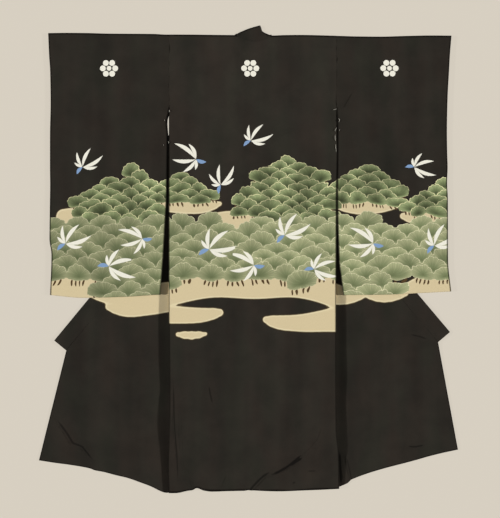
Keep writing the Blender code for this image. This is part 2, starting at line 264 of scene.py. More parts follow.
def curve(table, at):
    """A table's values at these places, on a smooth line that never overshoots its rows."""
    keys = np.array(sorted(table), float)
    values = np.array([table[key] for key in sorted(table)], float)
    steps = np.diff(keys)
    slopes = np.diff(values) / steps
    product = slopes[:-1] * slopes[1:]
    total = np.where(product > 0, slopes[:-1] + slopes[1:], 1.0)
    tangents = np.concatenate((slopes[:1], np.where(product > 0, 2 * product / total, 0.0), slopes[-1:]))
    at = np.asarray(at, float)
    low = np.clip(np.searchsorted(keys, at) - 1, 0, len(keys) - 2)
    t = np.clip((at - keys[low]) / steps[low], 0, 1)
    rise = t * t * (3 - 2 * t)
    bend = t * (1 - t) * ((1 - t) * tangents[low] - t * tangents[low + 1]) * steps[low]
    return values[low] + (values[low + 1] - values[low]) * rise + bend


def path(corners, spacing):
    """Evenly spaced points on a smooth line through these corners."""
    corners = np.array(corners, float)
    reach = np.concatenate(((0.0,), np.cumsum(np.linalg.norm(np.diff(corners, axis=0), axis=1))))
    slopes = np.gradient(corners, reach, axis=0) if len(corners) > 2 else np.diff(corners, axis=0) / reach[-1]
    if len(corners) == 2:
        slopes = np.vstack((slopes, slopes))
    at = np.linspace(0, reach[-1], max(2, round(reach[-1] / spacing) + 1))
    low = np.clip(np.searchsorted(reach, at) - 1, 0, len(reach) - 2)
    length = reach[low + 1] - reach[low]
    t = ((at - reach[low]) / length)[:, None]
    length = length[:, None]
    ends = corners[low] + (corners[low + 1] - corners[low]) * t * t * (3 - 2 * t)
    return ends + t * (1 - t) * ((1 - t) * slopes[low] - t * slopes[low + 1]) * length


def smooth(share):
    """0 to 1 with a soft start and end."""
    share = np.clip(share, 0, 1)
    return share * share * (3 - 2 * share)


def mix(a, b, share):
    return a + (b - a) * share


def wander(x, y, size, seed):
    """Slow, uneven waves of about this size across the cloth, from -1 to 1."""
    chance = np.random.default_rng(seed)
    total = 0.0
    for turn, phase, stretch in chance.uniform((0, 0, 0.7), (math.tau, math.tau, 1.6), (7, 3)):
        along = x * math.cos(turn) + y * math.sin(turn)
        total = total + np.sin(along * math.tau / (size * stretch) + phase)
    return total / 4


def line_distance(corners, x, y):
    """Distance from a bent line, the signed side of it, and how far along it the nearest point is."""
    corners = np.array(corners, float)
    lengths = np.linalg.norm(np.diff(corners, axis=0), axis=1)
    best = np.full(np.shape(x), 1e9)
    side = np.zeros(np.shape(x))
    along = np.zeros(np.shape(x))
    done = 0.0
    for start, end, length in zip(corners, corners[1:], lengths):
        run = (end - start) / length
        reach = np.clip((x - start[0]) * run[0] + (y - start[1]) * run[1], 0, length)
        away_x, away_y = x - start[0] - run[0] * reach, y - start[1] - run[1] * reach
        away = np.hypot(away_x, away_y)
        nearer = away < best
        best = np.where(nearer, away, best)
        side = np.where(nearer, np.sign(run[0] * away_y - run[1] * away_x), side)
        along = np.where(nearer, (done + reach) / lengths.sum(), along)
        done += length
    return best, side, along


def crease_height(creases, x, y):
    """How far these creases lift the cloth: a ridge with one steep side."""
    lift = np.zeros(np.shape(x))
    for height, soft, steep, _, line in creases:
        away, side, along = line_distance(line, x, y)
        fade = 0.35 + 0.65 * np.sin(math.pi * np.clip(along, 0.02, 0.98)) ** 0.5
        lift = np.maximum(lift, height * fade * (1 - smooth(away / np.where(side > 0, soft, steep))))
    return lift


def crease_lines(creases, x, y):
    """Signed distance from the nearest crease, and how much shade is painted along its line here."""
    reach = 9.0
    distance, painted_shade_strength, nearest = (np.full(np.shape(x), value) for value in (reach, 0.0, 1e9))
    for _, _, _, painted_shade, line in creases:
        away, side, along = line_distance(line, x, y)
        nearer = away < nearest
        nearest = np.where(nearer, away, nearest)
        distance = np.where(nearer, np.clip(away, 0, reach) * side, distance)
        shown = painted_shade * (1 - smooth((away - 3) / 4))
        shown = shown * np.clip(np.minimum(along, 1 - along) * 6 + 0.05, 0, 1)
        painted_shade_strength = np.where(nearer, shown, painted_shade_strength)
    return distance, painted_shade_strength


def slow_waves(cloth, x, y, size, seed):
    """The cloth's slow unevenness in millimetres."""
    return (wander(x, y, size, seed) + 1) * 500 * cloth.unevenness


def pucker(away, y, seed):
    """Short uneven folds that the armhole's sewing draws into the cloth beside it."""
    folds = wander(y * 0.15, y, 21, seed) + 0.6 * wander(y * 0.4, y, 13, seed + 1)
    sewn = smooth((y - ARMHOLE_END_Y + 34) / 30)
    return folds * np.exp(-np.abs(away) / 9) * sewn * 0.45 - 0.4 * np.exp(-(away / 2.6) ** 2) * sewn


def shoulder_y(x):
    """Where the shoulder line is at this place across the garment."""
    return curve(SHOULDER, x)


def neck_y(x):
    """The back's upper edge: the shoulder line with the shallow neck cut."""
    share = np.clip((x - NECK_LEFT_X) / (NECK_RIGHT_X - NECK_LEFT_X), 0, 1)
    return shoulder_y(x) - NECK_DROP * np.sin(math.pi * share) ** 0.6


def fold_frame(half):
    """The fold line's direction towards the hem, and the direction across it away from the side."""
    down = np.subtract(half["fold_hem"], half["fold_top"])
    down = down / np.linalg.norm(down)
    return down, np.array((-down[1], down[0])) * -half["side"]


def fold_x(half, y):
    """Where the fold line is at this height."""
    (top_x, top_y), (hem_x, hem_y) = half["fold_top"], half["fold_hem"]
    return top_x + (hem_x - top_x) * (y - top_y) / (hem_y - top_y)


def seam_height(half, y):
    """Height of the tuck's upper face at this half's side seam."""
    return curve(SEAM_HEIGHT, y) * half["lift"]


def seam_path(half):
    """The front's outer seam: the okumi's part from the hem to its tip, and the collar's part."""
    lower = path(half["okumi_seam"], SEAM_SPACING)
    return lower, path((half["okumi_seam"][-1], *half["collar_bends"]), SEAM_SPACING)


def along_hem(half, x, y):
    """Rows of y whose first ones follow the hem."""
    share = smooth(1 - np.arange(len(y)) / HEM_ROWS)
    share = share.reshape(-1, *(1,) * (np.ndim(y) - 1))
    return y + (curve(half["hem"], x) - y[0]) * share


def add_object(name, data):
    """Puts an object with this data into the scene."""
    added = bpy.data.objects.new(name, data)
    bpy.context.scene.collection.objects.link(added)
    return added


def mesh_data(name, mesh):
    """Writes a bmesh into new mesh data and frees it."""
    data = bpy.data.meshes.new(name)
    mesh.to_mesh(data)
    mesh.free()
    return data


def points_of(data):
    """A mesh's points, a row each."""
    flat = np.empty(len(data.vertices) * 3)
    data.vertices.foreach_get("co", flat)
    return flat.reshape(-1, 3)


def grid_piece(name, points, wall, outward, closed=False):
    """A panel from rows of points in millimetres, on one face of the cloth.

    A grid is laid out flat and each of its points is moved to its place, none below the floor.
    A closed panel is a tube round its rows, and its wall's inner side takes the second material.
    Outward is 1 where the wall grows along the grid's normals and -1 where it grows against them.
    """
    last_row, last_column = points.shape[0] - 1, points.shape[1] - 1
    mesh = bmesh.new()
    bmesh.ops.create_grid(mesh, x_segments=last_column, y_segments=last_row, size=0.5)
    data = mesh_data(name, mesh)
    flat = points_of(data)
    row = np.rint((flat[:, 1] + 0.5) * last_row).astype(int)
    column = np.rint((flat[:, 0] + 0.5) * last_column).astype(int)
    placed = points[row, column]
    placed[:, 2] = np.maximum(placed[:, 2], 0)
    data.vertices.foreach_set("co", (placed * MM).ravel())
    corner = np.empty(len(data.loops), int)
    data.loops.foreach_get("vertex_index", corner)
    dress(data, placed[:, 0], placed[:, 1], corner)
    if closed:
        mesh = bmesh.new()
        mesh.from_mesh(data)
        bmesh.ops.remove_doubles(mesh, verts=mesh.verts, dist=1e-6)
        mesh.to_mesh(data)
        mesh.free()
    data.shade_smooth()
    panel = add_object(name, data)
    modifiers = (
        ("Wall", "SOLIDIFY", {
            "thickness": wall, "offset": outward, "use_even_offset": True, "material_offset": int(closed)}),
        ("Pressed edge", "BEVEL", {
            "width": wall * PRESSED_SHARE, "segments": 2, "profile": 0.5, "limit_method": "ANGLE",
            "angle_limit": math.radians(50), "harden_normals": True}),
    )
    for label, kind, settings in modifiers:
        modifier = panel.modifiers.new(label, kind)
        for key, value in settings.items():
            setattr(modifier, key, value)
    return panel


# The dyed design. Mist is tan and lies in soft banks, a row each: a chain of rounds, each x, y and
# radius. Rows of "top" are seen on the back and sleeves, the others on what is turned out.
MIST = {
    "top": (
        ((-450, -54, 34), (-390, -58, 30), (-338, -60, 24), (-308, -76, 6)),
        ((-210, -68, 40), (-160, -60, 34), (-80, -52, 27), (10, -56, 26), (110, -52, 28), (170, -62, 33),
         (220, -76, 42)),
        ((-210, -114, 18), (-150, -117, 17), (-96, -117, 14), (-62, -112, 9)),
        ((224, -122, 30), (170, -128, 23), (106, -134, 17), (52, -131, 12), (36, -127, 8)),
        ((-150, -158, 6), (-120, -160, 8), (-92, -157, 5)),
        ((-196, 117, 11), (-140, 112, 14), (-92, 112, 12), (-62, 118, 6)),
        ((192, 116, 12), (236, 110, 14), (284, 113, 12), (326, 120, 6)),
        ((-392, 91, 17), (-352, 90, 17), (-310, 84, 12)),
        ((-76, 86, 11), (-40, 83, 19), (0, 82, 14)),
        ((322, -68, 7), (352, -64, 22), (400, -56, 30), (450, -52, 33)),
        ((326, 92, 8), (360, 88, 15), (404, 86, 16), (450, 90, 15)),
    ),
    "left": (
        ((-332, -62, 18), (-290, -72, 22), (-230, -78, 21), (-160, -72, 26)),
        ((-296, -100, 9), (-262, -107, 13), (-214, -104, 13), (-160, -92, 16)),
    ),
    "right": (
        ((170, -70, 24), (210, -78, 15), (246, -72, 8)), ((258, -76, 10), (290, -77, 13), (330, -70, 9)),
    ),
}

# The design's width and height, as its skylines are stored
DESIGN_WIDTH, DESIGN_HEIGHT = 900, 500

# Skylines and lower limits of the green masses. A scale is drawn where its middle is between the
# two lines. The hills' skyline is a row of mounds, each a middle, half its width, its foot and top.
WAVE_TOP = {
    -440: 70, -392: 82, -350: 74, -310: 78, -240: 84, -186: 76, -140: 88, -96: 82, -62: 62,
    -30: 54, 0: 60, 34: 84, 84: 88, 130: 80, 184: 86, 240: 78, 290: 66, 350: 74, 400: 82, 440: 76,
}
WAVE_LOW = {
    "back": {-200: -48, -140: -58, -84: -36, -30: -60, 30: -42, 90: -62, 140: -44, 220: -60},
    "sleeve": {-440: -44, -330: -46, -310: -220, 310: -220, 335: -44, 440: -46},
}
HILLS = (
    (-330, 42, 70, 138), (-284, 44, 70, 166), (-236, 42, 70, 190), (-198, 34, 80, 168), (-136, 44, 110, 172),
    (-100, 38, 110, 158), (-8, 40, 84, 144), (34, 42, 84, 182), (76, 42, 84, 214), (122, 42, 84, 190),
    (160, 36, 84, 158), (216, 42, 112, 166), (254, 40, 112, 184), (296, 36, 112, 160), (376, 40, 84, 140),
    (422, 44, 84, 160),
)
HILL_LOW = {
    -440: 86, -360: 86, -300: 78, -182: 84, -176: 120, -66: 120, -54: 92, 60: 82, 178: 84, 186: 120, 326: 120,
    336: 94, 440: 92,
}

# Stamps: sprigs of long leaves, and the roundels at the shoulders, with their turn in degrees
# and their size against the drawn one
SPRIGS = (
    (-388, 34, 24, 1.15), (-296, -14, -16, 1.25), (-226, 44, 166, 1.1), (-352, 196, 36, 1.0),
    (-112, 212, 150, 1.15), (-60, 158, 62, 1.0), (-84, 22, 14, 1.3), (10, -12, 162, 1.2), (76, 52, 30, 1.2),
    (138, -20, -10, 1.1), (4, 252, 22, 1.0), (262, 34, 152, 1.2), (350, 196, -14, 1.0), (392, 30, 34, 1.15),
)
ROUNDELS = ((-296, 404.6), (2.6, 404.8), (297.2, 404.8))
ROUNDEL_SIZE = 39.0

# Kinds of node that the materials use often
MATH, VECTOR, MIX, RANGE = "ShaderNodeMath", "ShaderNodeVectorMath", "ShaderNodeMix", "ShaderNodeMapRange"
RAMP, HUE, GROUP = "ShaderNodeValToRGB", "ShaderNodeHueSaturation", "ShaderNodeGroup"
SEPARATE, COMBINE, ATTRIBUTE = "ShaderNodeSeparateXYZ", "ShaderNodeCombineXYZ", "ShaderNodeAttribute"

# The silk's noises: how the place is stretched, then the noise's scale, detail and roughness
NOISES = {
    "bands": ((0.022, 0.0016, 1.0), 1.0, 2.0, 0.45),
    "patches": ((1.0, 1.0, 1.0), 0.018, 4.0, 0.6),
    "slow": ((0.016, 0.006, 1.0), 1.0, 2.0, 0.5),
    "slub": ((0.9, 0.25, 1.0), 1.0, 2.0, 0.5),
    "drift": ((1.0, 1.0, 1.0), 0.014, 3.0, 0.4),
    "glade": ((1.0, 1.0, 1.0), 0.021, 1.0, 0.5),
}

# Width and pitch of the rows of scales in millimetres, their colours from the middle of a scale to
# its rim, and the colour of the reeds
HILL_SCALE, WAVE_SCALE = (42.0, 12.2), (56.0, 17.5)
HILL_RAMP = (
    (0.0, "#363c28"), (0.45, "#525b3e"), (0.84, "#717a57"), (0.915, "#555e42"), (0.935, "#a8a780"),
    (1.0, "#a8a780"),
)
WAVE_RAMP = (
    (0.0, "#6a7350"), (0.35, "#7d8661"), (0.7, "#999d77"), (0.92, "#a4a881"), (0.937, "#8b916d"),
    (0.955, "#cfcca6"), (1.0, "#cfcca6"),
)
REED = "#54412a"

# A sprig's leaves: turn in degrees, length, width and bend in millimetres
LEAF_SIZES = ("Turn", "Length", "Width", "Bend")
LEAVES = (
    (-34, 32, 14, 14), (-6, 50, 16, 20), (30, 44, 15, -16), (74, 34, 14, -14), (116, 20, 12, -6),
)
STEM = (196, 20, 15, 8)
LIGHT_COLOUR = (1.0, 0.985, 0.96)


def mounds(hills):
    """The skyline of these mounds, x: y, every 10 mm."""
    line = {}
    for x in range(-450, 451, 10):
        tops = [foot + (top - foot) * (1 - abs((x - middle) / half) ** 3) ** 0.4
                for middle, half, foot, top in hills if abs(x - middle) < half]
        line[x] = max(tops, default=-240)
    return line


def mist_distance(banks, x, y):
    """Signed distance from the mist's edge in millimetres, less than 0 inside, with soft joins."""
    total = np.full(np.shape(x), 60.0)
    for bank in banks:
        bank = path(bank, 14)
        for start, end in zip(bank, bank[1:]):
            run = end[:2] - start[:2]
            share = np.clip(((x - start[0]) * run[0] + (y - start[1]) * run[1]) / (run @ run), 0, 1)
            away = np.hypot(x - start[0] - run[0] * share, y - start[1] - run[1] * share)
            away = away - mix(start[2], end[2], share)
            near = np.clip(0.5 + (total - away) / 16, 0, 1)
            total = mix(total, away, near) - 8 * near * (1 - near)
    return total


def dress(data, x, y, corner):
    """Gives a panel its maps: the cut cloth's own coordinates, and the nearest stamp's."""
    x, y = x[corner], y[corner]
    cut = data.uv_layers.new(name="cut")
    cut.uv.foreach_set("vector", np.column_stack((x, y)).ravel() * MM)
    stamps = [(*sprig, 0) for sprig in SPRIGS] + [(*spot, 0, 1, 1) for spot in ROUNDELS]
    stamps = np.array(stamps, float)
    face_x, face_y = x.reshape(-1, 4).mean(axis=1), y.reshape(-1, 4).mean(axis=1)
    away = np.hypot(face_x[:, None] - stamps[:, 0], face_y[:, None] - stamps[:, 1])
    nearest = np.repeat(stamps[np.argmin(away, axis=1)], 4, axis=0)
    turn = np.radians(nearest[:, 2])
    dx, dy = (x - nearest[:, 0]) / nearest[:, 3], (y - nearest[:, 1]) / nearest[:, 3]
    local_x = dx * np.cos(turn) + dy * np.sin(turn)
    local_y = dy * np.cos(turn) - dx * np.sin(turn)
    stamp = data.uv_layers.new(name="stamp")
    stamp.uv.foreach_set("vector", np.column_stack((local_x, local_y)).ravel() * MM)
    roundel = data.attributes.new("roundel", "FLOAT", "CORNER")
    roundel.data.foreach_set("value", nearest[:, 4])


def add_fields(panel, banks, creases, x, y, edge=FAR):
    """Gives a panel's points what its silk needs: distances from the mist's edge, the creases and
    the panel's own free edges, and how much shade is painted along the creases."""
    distance, painted_shade_strength = crease_lines(creases, x, y)
    edge = np.broadcast_to(edge, np.shape(x))
    values = {"mist": mist_distance(banks, x, y), "crease": distance, "crease_shown": painted_shade_strength, "edge": edge}
    for name, value in values.items():
        field = panel.data.attributes.new(name, "FLOAT", "POINT")
        field.data.foreach_set("value", value.ravel())


def add_node(tree, kind, feeds=None, **settings):
    """Adds a node with its settings. Feeds give its inputs by name or number: a value or a link."""
    node = tree.nodes.new(kind)
    for name, value in settings.items():
        setattr(node, name, value)
    for key, feed in (feeds or {}).items():
        if isinstance(feed, bpy.types.Node):
            feed = feed.outputs[0]
        if isinstance(feed, bpy.types.NodeSocket):
            tree.links.new(feed, node.inputs[key])
        else:
            node.inputs[key].default_value = feed
    return node


def add_steps(tree, known, rows):
    """Adds a node for each row and keeps it in known by its name.

    A row is a name, what its node does, and its feeds in order: numbers, or the names of earlier
    rows. What it does is a kind of node or, for arithmetic, the operation.
    """
    for name, act, *feeds in rows:
        feeds = {place: known[feed] if isinstance(feed, str) else feed for place, feed in enumerate(feeds)}
        if act.startswith("ShaderNode"):
            known[name] = add_node(tree, act, feeds)
        elif act == "LENGTH":
            known[name] = add_node(tree, VECTOR, feeds, operation=act).outputs[1]
        else:
            known[name] = add_node(tree, MATH, feeds, operation=act)
    return known


def set_ramp(node, *stops):
    """Gives a colour ramp its stops, each a place and an sRGB hex colour."""
    stretch = node.color_ramp.elements
    for index, (place, colour) in enumerate(stops):
        stop = stretch[index] if index < 2 else stretch.new(place)
        stop.position = place
        stop.color = linear(colour)
    return node


def set_values(shader, **values):
    """Sets a shader's own sockets, named with _ for each space."""
    for name, value in values.items():
        shader.inputs[name.replace("_", " ")].default_value = value


def set_skyline(node, table):
    """Gives a float curve a skyline, with the design's width and height as 0 to 1."""
    line = node.mapping.curves[0]
    for index, x in enumerate(sorted(table)):
        place = (x / DESIGN_WIDTH + 0.5, table[x] / DESIGN_HEIGHT + 0.5)
        if index < 2:
            line.points[index].location = place
        else:
            line.points.new(*place)
    for point in line.points:
        point.handle_type = "VECTOR"
    node.mapping.update()
    return node


def node_group(name, inputs, outputs):
    """An empty node group. Its first input is a place, and the rest of its sockets are numbers."""
    tree = bpy.data.node_groups.new(name, "ShaderNodeTree")
    for index, label in enumerate((*inputs, *outputs)):
        side = "INPUT" if index < len(inputs) else "OUTPUT"
        tree.interface.new_socket(label, in_out=side, socket_type="NodeSocketFloat" if index else "NodeSocketVector")
    return tree, add_node(tree, "NodeGroupInput").outputs


def scale_row(name, width, pitch, top, low):
    """A node group for one row of overlapping scales: how far out in its scale a place is, whether
    that scale is drawn, the scale's tone with its ribs, and the reeds at its foot."""
    results = ("reach", "drawn", "tone", "reed")
    tree, given = node_group(name, ("Place", "Row"), [result.title() for result in results])
    place = add_node(tree, SEPARATE, {0: given["Place"]}).outputs
    known = add_steps(tree, {"x": place[0], "y": place[1], "own_row": given["Row"]}, (
        ("level", "DIVIDE", "y", pitch),
        ("floor", "FLOOR", "level"),
        ("row", "ADD", "floor", "own_row"),
        ("odd", "FLOORED_MODULO", "row", 2.0),
        ("column", "DIVIDE", "x", width),
        ("shifted", "MULTIPLY_ADD", "odd", 0.5, "column"),
        ("cell", "FLOOR", "shifted"),
        ("part", "SUBTRACT", "shifted", "cell"),
        ("across", "MULTIPLY_ADD", "part", width, -width / 2),
        ("middle_x", "SUBTRACT", "x", "across"),
        ("middle_y", "MULTIPLY", "row", pitch),
        ("rise", "SUBTRACT", "y", "middle_y"),
        ("at_x", "MULTIPLY_ADD", "middle_x", 1 / DESIGN_WIDTH, 0.5),
        ("at_y", "MULTIPLY_ADD", "middle_y", 1 / DESIGN_HEIGHT, 0.5),
        ("tag", COMBINE, "cell", "row"),
    ))
    known["chance"] = add_node(tree, "ShaderNodeTexWhiteNoise", {0: known["tag"]}, noise_dimensions="2D")
    for line, table in (("sky", top), ("ground", low)):
        known[line] = set_skyline(add_node(tree, "ShaderNodeFloatCurve", {1: known["at_x"]}), table)
    # A scale is a low fan: its upper half is a flattened dome and its foot is nearly straight. Its
    # ribs are pale between the lobes, with fine hatching that is coarser than the real one.
    add_steps(tree, known, (
        ("tall", "MULTIPLY_ADD", "chance", 0.34, 1.12),
        ("upper", "MULTIPLY", "rise", "tall"),
        ("lower", "MULTIPLY", "rise", -3.4),
        ("steep", "MAXIMUM", "upper", "lower"),
        ("joined", COMBINE, "across", "steep"),
        ("away", "LENGTH", "joined"),
        ("angle", "ARCTAN2", "steep", "across"),
        ("ribbed", "MULTIPLY", "angle", 6.0),
        ("waves", "SINE", "ribbed"),
        ("lobe", "ABSOLUTE", "waves"),
        ("rim", "MULTIPLY_ADD", "lobe", -0.09, 1.07),
        ("plain", "DIVIDE", "away", width * 0.56),
        ("reach", "MULTIPLY", "plain", "rim"),
        ("inside", "LESS_THAN", "reach", 1.0),
        ("under", "LESS_THAN", "at_y", "sky"),
        ("over", "GREATER_THAN", "at_y", "ground"),
        ("between", "MULTIPLY", "under", "over"),
        ("drawn", "MULTIPLY", "between", "inside"),
        ("rib", RANGE, "lobe", 0.26, 0.0, 0.0, 0.2),
        ("hatched", "MULTIPLY", "angle", 38.0),
        ("hatch", "SINE", "hatched"),
        ("fading", "MULTIPLY", "hatch", "plain"),
        ("fine", "MULTIPLY_ADD", "fading", 0.11, "rib"),
        ("own", "MULTIPLY_ADD", "chance", 0.2, 0.87),
        ("tone", "ADD", "own", "fine"),
        ("beside", "ABSOLUTE", "across"),
        ("pair", "ADD", "beside", -width / 5.4),
        ("folded", "ABSOLUTE", "pair"),
        ("off", "MULTIPLY_ADD", "folded", 26 / width, -2.2),
        ("drop", "MULTIPLY_ADD", "rise", 9 / width, 2.1),
        ("foot", COMBINE, "off", "drop"),
        ("foot_reach", "LENGTH", "foot"),
        ("stalk", "LESS_THAN", "foot_reach", 1.0),
        ("reed", "MULTIPLY", "stalk", "between"),
    ))
    add_node(tree, "NodeGroupOutput", {place: known[result] for place, result in enumerate(results)})
    return tree


def scales(tree, place, group, ramp, lift):
    """Rows of scales, the lowest in front, with reeds at their feet, as coats: a mask and a colour."""
    rows = [add_node(tree, GROUP, {"Place": place, "Row": row}, node_tree=group) for row in (-1.0, 0.0, 1.0, 2.0)]
    reach, drawn, tone, reed = rows[2].outputs
    for front in rows[1::-1]:
        shown = front.outputs["Drawn"]
        reach = add_node(tree, MIX, {0: shown, 2: reach, 3: front.outputs["Reach"]})
        tone = add_node(tree, MIX, {0: shown, 2: tone, 3: front.outputs["Tone"]})
        drawn = add_node(tree, MATH, {0: shown, 1: drawn}, operation="MAXIMUM")
    for row in (rows[1], rows[3]):
        reed = add_node(tree, MATH, {0: reed, 1: row.outputs["Reed"]}, operation="MAXIMUM")
    ring = set_ramp(add_node(tree, RAMP, {0: reach}), *ramp)
    value = add_node(tree, MATH, {0: tone, 1: lift}, operation="MULTIPLY")
    tinted = add_node(tree, HUE, {"Value": value, "Color": ring})
    return [(reed, linear(REED)), (drawn, tinted)]


def leaf_group():
    """A node group for one long leaf that starts at the origin and bends as it goes."""
    tree, given = node_group("long_leaf", ("Place", *LEAF_SIZES), ("Leaf",))
    turned = add_node(tree, "ShaderNodeVectorRotate", {0: given["Place"], "Angle": given["Turn"]},
                      rotation_type="Z_AXIS")
    axes = add_node(tree, SEPARATE, {0: turned}).outputs
    known = add_steps(tree, {"x": axes[0], "y": axes[1], **given}, (
        ("along", "DIVIDE", "x", "Length"),
        ("rest", "SUBTRACT", 1.0, "along"),
        ("swell", "MULTIPLY", "along", "rest"),
        ("bent", "MULTIPLY_ADD", "swell", "Bend", "y"),
        ("off", "ABSOLUTE", "bent"),
        ("edge", "MULTIPLY", "swell", "Width"),
        ("depth", "SUBTRACT", "edge", "off"),
    ))
    leaf = add_node(tree, MATH, {0: known["depth"], 1: 2.0}, operation="MULTIPLY", use_clamp=True)
    add_node(tree, "NodeGroupOutput", {0: leaf})
    return tree


def roundel_mask(tree, local):
    """Six round petals and a round middle, as a mask."""
    axes = add_node(tree, SEPARATE, {0: local}).outputs
    return add_steps(tree, {"x": axes[0], "y": axes[1], "local": local}, (
        ("angle", "ARCTAN2", "x", "y"),
        ("sixth", "MULTIPLY", "angle", 3 / math.pi),
        ("part", "FRACT", "sixth"),
        ("folded", "MULTIPLY_ADD", "part", math.pi / 3, -math.pi / 6),
        ("reach", "LENGTH", "local"),
        ("cosine", "COSINE", "folded"),
        ("sine", "SINE", "folded"),
        ("across", "MULTIPLY", "reach", "sine"),
        ("out", "MULTIPLY", "reach", "cosine"),
        ("off", "SUBTRACT", "out", ROUNDEL_SIZE * 0.335),
        ("joined", COMBINE, "off", "across"),
        ("away", "LENGTH", "joined"),
        ("petal", "LESS_THAN", "away", ROUNDEL_SIZE * 0.158),
        ("middle", "LESS_THAN", "reach", ROUNDEL_SIZE * 0.13),
        ("mask", "MAXIMUM", "petal", "middle"),
    ))["mask"]


def stamps(tree, colours):
    """The sprigs and the roundels as coats, drawn in the nearest stamp's own coordinates."""
    stamp = add_node(tree, "ShaderNodeUVMap", uv_map="stamp")
    local = add_node(tree, VECTOR, {0: stamp, "Scale": 1 / MM}, operation="SCALE").outputs[0]
    leaf = leaf_group()
    drawn = []
    for turn, *sizes in (STEM, *LEAVES):
        feeds = dict(zip(LEAF_SIZES, (-math.radians(turn), *sizes)), Place=local)
        drawn.append(add_node(tree, GROUP, feeds, node_tree=leaf))
    white = drawn[1]
    for other in drawn[2:]:
        white = add_node(tree, MATH, {0: white, 1: other}, operation="MAXIMUM")
    roundel = add_node(tree, ATTRIBUTE, attribute_name="roundel").outputs["Fac"]
    known = {"stem": drawn[0], "leaves": white, "roundel": roundel, "petals": roundel_mask(tree, local)}
    add_steps(tree, known, (
        ("sprig", "SUBTRACT", 1.0, "roundel"),
        ("blue", "MULTIPLY", "stem", "sprig"),
        ("white", "MULTIPLY", "leaves", "sprig"),
        ("round", "MULTIPLY", "petals", "roundel"),
        ("pale", "MAXIMUM", "white", "round"),
    ))
    return [(known["blue"], linear(colours["blue"])), (known["pale"], linear(colours["white"]))]


def landscape(tree, known, design):
    """The hills and the waves as coats, along skylines that drift a little."""
    warp = add_node(tree, VECTOR, {0: known["drift"].outputs[1], 1: (46, 36, 0), 2: (-23, -18, 0)},
                    operation="MULTIPLY_ADD")
    warped = add_node(tree, VECTOR, {0: known["place"], 1: warp}, operation="ADD").outputs[0]
    add_steps(tree, known, (
        ("lit", RANGE, "glade", 0.38, 0.62, 1.0, 2.0),
        ("beside", SEPARATE, "place"),
        ("side", RANGE, "beside", -300.0, 120.0, 0.82, 1.08),
        ("spotted", RANGE, "glade", 0.32, 0.68, 1.06, 0.9),
        ("shaded", "MULTIPLY", "side", "spotted"),
    ))
    hills = scale_row("hill_row", *HILL_SCALE, mounds(HILLS), HILL_LOW)
    waves = scale_row("wave_row", *WAVE_SCALE, WAVE_TOP, WAVE_LOW[design])
    far = scales(tree, warped, hills, HILL_RAMP, known["lit"])
    return far + scales(tree, warped, waves, WAVE_RAMP, known["shaded"])


def new_material(name):
    """A new material, its node tree and its shader."""
    material = bpy.data.materials.new(name)
    material.use_nodes = True
    return material, material.node_tree, material.node_tree.nodes["Principled BSDF"]


